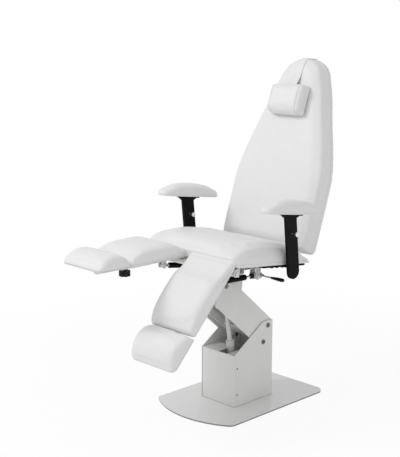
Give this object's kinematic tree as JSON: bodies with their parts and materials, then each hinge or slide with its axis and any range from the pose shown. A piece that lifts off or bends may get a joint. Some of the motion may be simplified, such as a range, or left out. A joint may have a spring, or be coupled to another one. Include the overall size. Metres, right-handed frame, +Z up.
{
  "type": "podiatry chair",
  "caption": "Upholstered podiatry chair with a parallelogram lift on a floor plate, reclining back, separately hinged legs with sliding foot pads, and swinging armrests.",
  "frame": {"origin": "Centre of the underside of the floor plate, on the floor.", "axes": "+Z up; -Y towards the front, where the patient's feet are; +X towards the patient's left."},
  "size_m": [0.73, 1.2998, 1.5716],
  "materials": {
    "upholstery": "satin",
    "grey_paint": "satin",
    "plate_paint": "semi-gloss",
    "black_paint": "satin",
    "black_plastic": "matte",
    "board": "matte",
    "steel": "zinc plated",
    "dark_bolt": "satin",
    "bright": "polished",
    "housing": "satin"
  },
  "bodies": {
    "base": {"base_plate": "plate_paint", "column_side_left": "grey_paint", "column_side_right": "grey_paint", "column_front_cover": "grey_paint", "column_rear_cover": "grey_paint", "column_bolts": "dark_bolt", "actuator_foot": "grey_paint"},
    "lift_arm": {"lift_arm_side_left": "grey_paint", "lift_arm_side_right": "grey_paint", "lift_arm_web": "grey_paint", "lift_arm_ears": "grey_paint", "lift_arm_head_shaft": "dark_bolt"},
    "lower_link": {"lower_link": "grey_paint"},
    "actuator_body": {"actuator_body": "housing"},
    "actuator_rod": {"actuator_rod": "steel"},
    "seat": {"head_bracket": "grey_paint", "head_link_shaft": "steel", "seat_frame": "grey_paint", "seat_frame_lugs": "grey_paint", "seat_board": "board", "seat_cushion": "upholstery", "seat_hinge_pins": "steel", "armrest_bracket_left": "black_paint", "armrest_bracket_right": "black_paint", "edge_rail_bolts": "dark_bolt"},
    "back": {"back_frame": "grey_paint", "back_board": "board", "back_cushion": "upholstery", "head_strap": "upholstery"},
    "head_cushion": {"head_cushion": "upholstery"},
    "back_spring_cylinder": {"back_spring_cylinder": "black_paint"},
    "back_spring_rod": {"back_spring_rod": "steel"},
    "leg_left": {"leg_frame_left": "grey_paint", "calf_pad_left": "upholstery"},
    "foot_left": {"foot_slide_left": "grey_paint", "foot_pad_left": "upholstery"},
    "foot_knob_left": {"foot_knob_left": "black_plastic"},
    "leg_spring_rod_left": {"leg_spring_rod_left": "steel"},
    "leg_spring_cylinder_left": {"leg_spring_cylinder_left": "black_paint", "leg_spring_fitting_left": "steel"},
    "release_lever_left": {"release_lever_left": "steel", "lever_grip_left": "black_plastic"},
    "armrest_bar_left": {"armrest_bar_left": "black_paint"},
    "armrest_sleeve_left": {"armrest_sleeve_left": "black_paint", "armrest_pad_left": "upholstery"},
    "armrest_clamp_left": {"armrest_clamp_left": "bright"},
    "leg_right": {"leg_frame_right": "grey_paint", "calf_pad_right": "upholstery"},
    "foot_right": {"foot_slide_right": "grey_paint", "foot_pad_right": "upholstery"},
    "foot_knob_right": {"foot_knob_right": "black_plastic"},
    "leg_spring_rod_right": {"leg_spring_rod_right": "steel"},
    "leg_spring_cylinder_right": {"leg_spring_cylinder_right": "black_paint", "leg_spring_fitting_right": "steel"},
    "release_lever_right": {"release_lever_right": "steel", "lever_grip_right": "black_plastic"},
    "armrest_bar_right": {"armrest_bar_right": "black_paint"},
    "armrest_sleeve_right": {"armrest_sleeve_right": "black_paint", "armrest_pad_right": "upholstery"},
    "armrest_clamp_right": {"armrest_clamp_right": "bright"}
  },
  "joints": [
    {"name": "lift", "type": "hinge", "parent": "base", "child": "lift_arm", "pos_m": [0, 0.097, 0.353], "axis": [-1, 0, 0], "range_deg": [-30, 20]},
    {"name": "link_turn", "type": "hinge", "parent": "base", "child": "lower_link", "pos_m": [0, 0.0655, 0.279], "axis": [-1, 0, 0], "range_deg": [-30, 20]},
    {"name": "head_level", "type": "hinge", "parent": "lift_arm", "child": "seat", "pos_m": [0, -0.17394, 0.58852], "axis": [-1, 0, 0], "range_deg": [-20, 30]},
    {"name": "actuator_tilt", "type": "hinge", "parent": "base", "child": "actuator_body", "pos_m": [0.025, -0.034, 0.045], "axis": [1, 0, 0], "range_deg": [-7.05, 10.33]},
    {"name": "actuator_stroke", "type": "slide", "parent": "actuator_body", "child": "actuator_rod", "axis": [0, -0.1512, 0.9885], "range_m": [-0.09707, 0.06505]},
    {"name": "recline", "type": "hinge", "parent": "seat", "child": "back", "pos_m": [0, 0.19449, 0.67739], "axis": [-1, 0, 0], "range_deg": [0, 71]},
    {"name": "back_spring_tilt", "type": "hinge", "parent": "seat", "child": "back_spring_cylinder", "pos_m": [0, -0.02995, 0.62446], "axis": [1, 0, 0], "range_deg": [0, 6.95]},
    {"name": "back_spring_stroke", "type": "slide", "parent": "back_spring_cylinder", "child": "back_spring_rod", "axis": [0, 0.998, -0.0637], "range_m": [-0.07744, 0]},
    {"name": "head_cushion_height", "type": "slide", "parent": "back", "child": "head_cushion", "axis": [0, 0.3256, 0.9455], "range_m": [-0.06, 0.04]},
    {"name": "leg_left_angle", "type": "hinge", "parent": "seat", "child": "leg_left", "pos_m": [0.147, -0.27893, 0.68906], "axis": [1, 0, 0], "range_deg": [-47, 33]},
    {"name": "foot_left_reach", "type": "slide", "parent": "leg_left", "child": "foot_left", "axis": [0, -0.682, -0.7314], "range_m": [0, 0.08]},
    {"name": "foot_knob_left_turn", "type": "hinge", "parent": "leg_left", "child": "foot_knob_left", "pos_m": [0.147, -0.46444, 0.49013], "axis": [0, 0.7314, -0.682], "range_deg": [0, 360]},
    {"name": "leg_spring_left_tilt", "type": "hinge", "parent": "seat", "child": "leg_spring_rod_left", "pos_m": [0.147, -0.0419, 0.62199], "axis": [1, 0, 0], "range_deg": [-4.59, 3.37]},
    {"name": "leg_spring_left_stroke", "type": "slide", "parent": "leg_spring_rod_left", "child": "leg_spring_cylinder_left", "axis": [0, -0.9988, 0.0487], "range_m": [-0.03014, 0.0425]},
    {"name": "release_lever_left_pull", "type": "hinge", "parent": "leg_spring_rod_left", "child": "release_lever_left", "pos_m": [0.1663, -0.01544, 0.6207], "axis": [0, -0.9988, 0.0487], "range_deg": [0, 8], "stiffness_Nm_per_rad": 6, "springref_deg": -2.86},
    {"name": "armrest_left_swing", "type": "hinge", "parent": "seat", "child": "armrest_bar_left", "pos_m": [0.322, 0.01276, 0.66357], "axis": [-1, 0, 0], "range_deg": [0, 95]},
    {"name": "armrest_left_height", "type": "slide", "parent": "armrest_bar_left", "child": "armrest_sleeve_left", "axis": [0, -0.0993, 0.9951], "range_m": [0, 0.06]},
    {"name": "armrest_left_clamp_turn", "type": "hinge", "parent": "armrest_sleeve_left", "child": "armrest_clamp_left", "pos_m": [0.322, -0.00443, 0.83572], "axis": [1, 0, 0], "range_deg": [0, 360]},
    {"name": "leg_right_angle", "type": "hinge", "parent": "seat", "child": "leg_right", "pos_m": [-0.147, -0.27893, 0.68906], "axis": [1, 0, 0], "range_deg": [0, 80]},
    {"name": "foot_right_reach", "type": "slide", "parent": "leg_right", "child": "foot_right", "axis": [0, -1, 0], "range_m": [0, 0.08]},
    {"name": "foot_knob_right_turn", "type": "hinge", "parent": "leg_right", "child": "foot_knob_right", "pos_m": [-0.147, -0.55093, 0.68906], "axis": [0, 0, -1], "range_deg": [0, 360]},
    {"name": "leg_spring_right_tilt", "type": "hinge", "parent": "seat", "child": "leg_spring_rod_right", "pos_m": [-0.147, -0.0419, 0.62199], "axis": [1, 0, 0], "range_deg": [0, 8.52]},
    {"name": "leg_spring_right_stroke", "type": "slide", "parent": "leg_spring_rod_right", "child": "leg_spring_cylinder_right", "axis": [0, -0.9882, 0.153], "range_m": [-0.0673, 0]},
    {"name": "release_lever_right_pull", "type": "hinge", "parent": "leg_spring_rod_right", "child": "release_lever_right", "pos_m": [-0.1663, -0.01571, 0.61794], "axis": [0, 0.9882, -0.153], "range_deg": [0, 8], "stiffness_Nm_per_rad": 6, "springref_deg": -2.86},
    {"name": "armrest_right_swing", "type": "hinge", "parent": "seat", "child": "armrest_bar_right", "pos_m": [-0.322, 0.01276, 0.66357], "axis": [-1, 0, 0], "range_deg": [0, 95]},
    {"name": "armrest_right_height", "type": "slide", "parent": "armrest_bar_right", "child": "armrest_sleeve_right", "axis": [0, -0.0993, 0.9951], "range_m": [0, 0.06]},
    {"name": "armrest_right_clamp_turn", "type": "hinge", "parent": "armrest_sleeve_right", "child": "armrest_clamp_right", "pos_m": [-0.322, -0.00443, 0.83572], "axis": [1, 0, 0], "range_deg": [0, 360]}
  ],
  "couplings": [
    {"joint": "link_turn", "follows": "lift", "ratio": 1},
    {"joint": "head_level", "follows": "lift", "ratio": -1},
    {"joint": "actuator_tilt", "follows": "lift", "ratio": -0.32775},
    {"joint": "actuator_stroke", "follows": "lift", "m_per_rad": 0.18348},
    {"joint": "back_spring_tilt", "follows": "recline", "ratio": 0.090912},
    {"joint": "back_spring_stroke", "follows": "recline", "m_per_rad": -0.061682},
    {"joint": "leg_spring_left_tilt", "follows": "leg_left_angle", "ratio": 0.086956},
    {"joint": "leg_spring_left_stroke", "follows": "leg_left_angle", "m_per_rad": -0.050596},
    {"joint": "leg_spring_right_tilt", "follows": "leg_right_angle", "ratio": 0.10025},
    {"joint": "leg_spring_right_stroke", "follows": "leg_right_angle", "m_per_rad": -0.047484}
  ]
}
